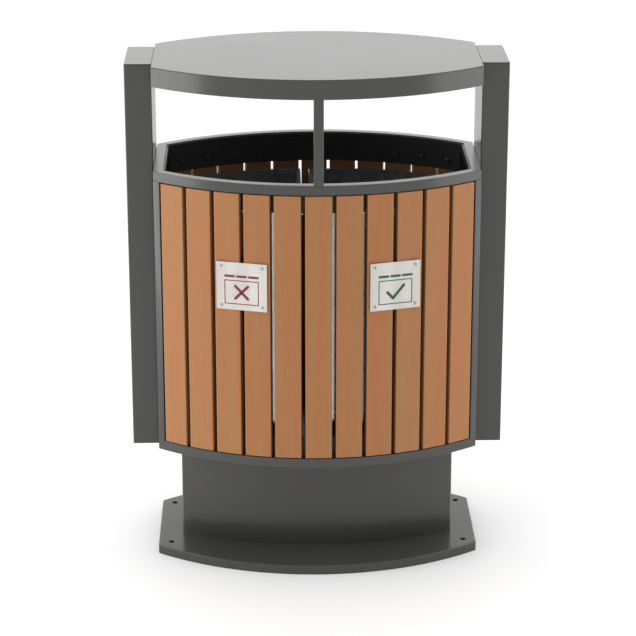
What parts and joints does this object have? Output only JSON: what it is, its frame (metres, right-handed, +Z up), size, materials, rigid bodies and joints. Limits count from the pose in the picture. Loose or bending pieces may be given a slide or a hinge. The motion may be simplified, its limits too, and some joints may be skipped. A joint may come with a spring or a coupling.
{
  "type": "litter bin",
  "caption": "Free-standing litter bin on a pedestal: board-clad lens-shaped body with an open mouth under a flat canopy, loose liners inside and a lockable rear door.",
  "frame": {"origin": "on the ground, under the centre of the bin's plan", "axes": "+Z up, the signed front faces -Y, +X to the right seen from the front"},
  "size_m": [0.774, 0.4698, 1.05],
  "materials": {
    "powder_coat": "dark grey satin powder coat",
    "powder_coat_top": "dark grey satin powder coat on the weathered upward faces",
    "black_coat": "black coat on the flat bars inside the body",
    "dark_screw": "dark zinc-nickel screws",
    "wood_plastic": "brown wood-plastic board, brushed, matt",
    "galvanised": "galvanised sheet",
    "galvanised_wire": "zinc-plated wire",
    "sign_red": "light printed plate with a red frame and mark",
    "sign_green": "light printed plate with a green frame and mark",
    "stainless": "stainless",
    "lock_metal": "nickel-plated lock",
    "zinc_plated": "zinc-plated cam"
  },
  "bodies": {
    "frame": {"base_underplate": "powder_coat", "pedestal_shell": "powder_coat", "pedestal_top_plate": "powder_coat", "floor_pan": "powder_coat", "lower_ring": "powder_coat", "upper_ring": "powder_coat", "corner_posts": "powder_coat", "side_panel_left": "powder_coat", "side_panel_right": "powder_coat", "mouth_band": "black_coat", "front_lower_strap": "black_coat", "left_post": "powder_coat", "right_post": "powder_coat", "canopy_soffit": "powder_coat", "canopy_strut": "powder_coat", "hinge_leaves_frame": "powder_coat", "base_pan": "powder_coat_top", "post_caps": "powder_coat_top", "canopy_pan": "powder_coat_top", "floor_bolts": "stainless", "front_board_screws": "dark_screw", "post_bolts": "stainless", "sign_screws": "stainless", "hinge_pins": "stainless", "front_board_01": "wood_plastic", "front_board_02": "wood_plastic", "front_board_03": "wood_plastic", "front_board_04": "wood_plastic", "front_board_05": "wood_plastic", "front_board_06": "wood_plastic", "front_board_07": "wood_plastic", "front_board_08": "wood_plastic", "front_board_09": "wood_plastic", "front_board_10": "wood_plastic", "front_board_11": "wood_plastic", "sign_plate_left": "sign_red", "sign_plate_right": "sign_green", "liner_left": "galvanised", "liner_right": "galvanised"},
    "rear_door": {"door_stiles": "powder_coat", "door_upper_strap": "black_coat", "door_lower_strap": "black_coat", "door_board_screws": "dark_screw", "hinge_leaves_door": "powder_coat", "lock_housing": "lock_metal", "rear_board_01": "wood_plastic", "rear_board_02": "wood_plastic", "rear_board_03": "wood_plastic", "rear_board_04": "wood_plastic", "rear_board_05": "wood_plastic", "rear_board_06": "wood_plastic", "rear_board_07": "wood_plastic", "rear_board_08": "wood_plastic", "rear_board_09": "wood_plastic", "rear_board_10": "wood_plastic", "rear_board_11": "wood_plastic"},
    "lock": {"lock_plug": "lock_metal", "lock_cam": "zinc_plated"},
    "bail_left": {"bail_left": "galvanised_wire"},
    "bail_right": {"bail_right": "galvanised_wire"}
  },
  "joints": [
    {"name": "rear_door_hinge", "type": "hinge", "parent": "frame", "child": "rear_door", "pos_m": [-0.34, 0.112, 0.536], "axis": [0, 0, 1], "range_deg": [0, 110]},
    {"name": "lock_turn", "type": "hinge", "parent": "rear_door", "child": "lock", "pos_m": [0.27157, 0.10468, 0.54], "axis": [-0.5524, -0.8336, 0], "range_deg": [0, 90]},
    {"name": "bail_left_swing", "type": "hinge", "parent": "frame", "child": "bail_left", "pos_m": [-0.1665, 0, 0.744], "axis": [-1, 0, 0], "range_deg": [0, 180]},
    {"name": "bail_right_swing", "type": "hinge", "parent": "frame", "child": "bail_right", "pos_m": [0.1225, 0, 0.744], "axis": [-1, 0, 0], "range_deg": [0, 180]}
  ]
}
